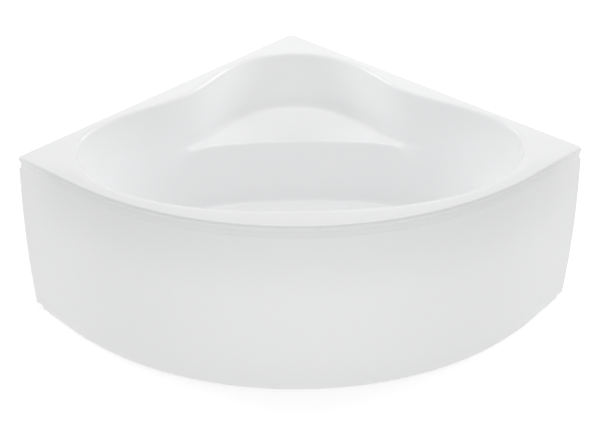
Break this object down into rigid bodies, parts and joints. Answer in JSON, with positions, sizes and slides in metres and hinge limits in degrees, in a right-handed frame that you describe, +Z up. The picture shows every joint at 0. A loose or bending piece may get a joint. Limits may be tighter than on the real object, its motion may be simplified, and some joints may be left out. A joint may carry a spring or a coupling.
{
  "type": "corner bathtub",
  "caption": "Symmetric corner bathtub with a wide basin, a moulded corner seat, a bowed detachable front panel, a steel frame on levelling feet and a knob-driven waste.",
  "frame": {"origin": "on the floor, at the middle of the whole outline seen from above", "axes": "+X along the line between the two side corners, +Y towards the room's corner, +Z up"},
  "size_m": [1.969, 1.5081, 0.65],
  "materials": {
    "acrylic": "gloss white acrylic",
    "board": "pressed wood board",
    "block_wood": "sawn softwood",
    "frame_paint": "grey paint on steel tube",
    "zinc_steel": "zinc plated",
    "black_plastic": "moulded black plastic",
    "rubber": "black rubber",
    "chrome": "polished chrome",
    "white_plastic": "moulded white plastic",
    "grey_plastic": "grey pipe plastic"
  },
  "bodies": {
    "bath": {"tub_shell": "acrylic", "front_panel": "acrylic", "base_board": "board", "seat_board": "board", "board_screws": "zinc_steel", "post_screws": "zinc_steel", "panel_screws": "zinc_steel", "cross_rail": "frame_paint", "back_rail": "frame_paint", "front_rail_left": "frame_paint", "front_rail_right": "frame_paint", "post_back": "frame_paint", "post_left": "frame_paint", "post_right": "frame_paint", "post_front_left": "frame_paint", "post_front_right": "frame_paint", "seat_post": "frame_paint", "rim_block_back": "block_wood", "rim_block_left": "block_wood", "rim_block_right": "block_wood", "rim_block_front_left": "block_wood", "rim_block_front_right": "block_wood", "weld_nuts": "zinc_steel", "lock_nuts": "zinc_steel", "panel_clips": "zinc_steel", "panel_straps": "zinc_steel", "wall_hooks_left": "zinc_steel", "wall_hooks_right": "zinc_steel", "waste_seal": "rubber", "waste_gasket": "rubber", "overflow_gasket": "rubber", "waste_strainer": "chrome", "overflow_ring": "chrome", "waste_body": "white_plastic", "trap_nut": "white_plastic", "trap": "white_plastic", "overflow_body": "white_plastic", "overflow_pipe": "grey_plastic"},
    "foot_back": {"foot_stud_back": "zinc_steel", "foot_pad_back": "black_plastic"},
    "foot_left": {"foot_stud_left": "zinc_steel", "foot_pad_left": "black_plastic"},
    "foot_right": {"foot_stud_right": "zinc_steel", "foot_pad_right": "black_plastic"},
    "foot_front_left": {"foot_stud_front_left": "zinc_steel", "foot_pad_front_left": "black_plastic"},
    "foot_front_right": {"foot_stud_front_right": "zinc_steel", "foot_pad_front_right": "black_plastic"},
    "plug": {"waste_plug": "chrome"},
    "knob": {"overflow_knob": "chrome"}
  },
  "joints": [
    {"name": "foot_back_screw", "type": "slide", "parent": "bath", "child": "foot_back", "axis": [0, 0, 1], "range_m": [-0.03, 0.005]},
    {"name": "foot_left_screw", "type": "slide", "parent": "bath", "child": "foot_left", "axis": [0, 0, 1], "range_m": [-0.03, 0.005]},
    {"name": "foot_right_screw", "type": "slide", "parent": "bath", "child": "foot_right", "axis": [0, 0, 1], "range_m": [-0.03, 0.005]},
    {"name": "foot_front_left_screw", "type": "slide", "parent": "bath", "child": "foot_front_left", "axis": [0, 0, 1], "range_m": [-0.03, 0.005]},
    {"name": "foot_front_right_screw", "type": "slide", "parent": "bath", "child": "foot_front_right", "axis": [0, 0, 1], "range_m": [-0.03, 0.005]},
    {"name": "knob_turn", "type": "hinge", "parent": "bath", "child": "knob", "pos_m": [0, -0.63585, 0.575], "axis": [0, 0.9937, 0.1121], "range_deg": [0, 90]},
    {"name": "plug_lift", "type": "slide", "parent": "bath", "child": "plug", "axis": [0, 0, 1], "range_m": [0, 0.01]}
  ],
  "couplings": [
    {"joint": "plug_lift", "follows": "knob_turn", "m_per_rad": 0.006366}
  ]
}
